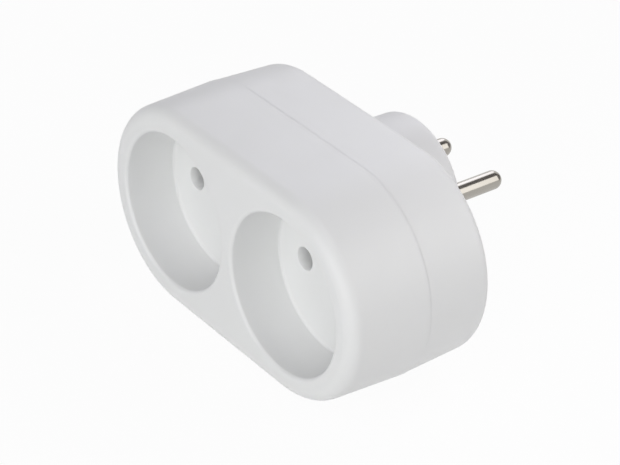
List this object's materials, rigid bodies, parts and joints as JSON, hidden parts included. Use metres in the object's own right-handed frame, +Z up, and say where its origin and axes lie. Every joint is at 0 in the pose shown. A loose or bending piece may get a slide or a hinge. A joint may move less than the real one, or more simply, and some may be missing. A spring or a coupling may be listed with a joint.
{
  "type": "double plug-in socket outlet",
  "caption": "Stadium-shaped plug-in adaptor with side-by-side round recessed sockets in front and a round plug boss with bare round pins behind.",
  "frame": {"origin": "centre of the plug boss's flat end face, midway between the two pins", "axes": "+Y along the pins towards the wall, +X along the body's long side through all pins and holes, +Z up: as modelled the body lies on its long flat side, with -Z down"},
  "size_m": [0.0968, 0.0749, 0.0532],
  "materials": {
    "shell_white": "satin moulded white plastic",
    "pin_nickel": "polished nickel plate on brass",
    "busbar_brass": "stamped, bright",
    "contact_bronze": "rolled spring strip",
    "clip_steel": "blued spring strip",
    "rivet_brass": "tumbled",
    "screw_steel": "zinc plated"
  },
  "bodies": {
    "root": {"front_shell": "shell_white", "rear_shell": "shell_white", "plug_pin_left": "pin_nickel", "plug_pin_right": "pin_nickel", "busbar_left": "busbar_brass", "busbar_right": "busbar_brass", "contact_left_outer": "contact_bronze", "contact_clip_left_outer": "clip_steel", "contact_rivet_left_outer": "rivet_brass", "contact_left_inner": "contact_bronze", "contact_clip_left_inner": "clip_steel", "contact_rivet_left_inner": "rivet_brass", "contact_right_inner": "contact_bronze", "contact_clip_right_inner": "clip_steel", "contact_rivet_right_inner": "rivet_brass", "contact_right_outer": "contact_bronze", "contact_clip_right_outer": "clip_steel", "contact_rivet_right_outer": "rivet_brass", "closing_screw_upper": "screw_steel", "closing_screw_lower": "screw_steel"}
  },
  "joints": []
}
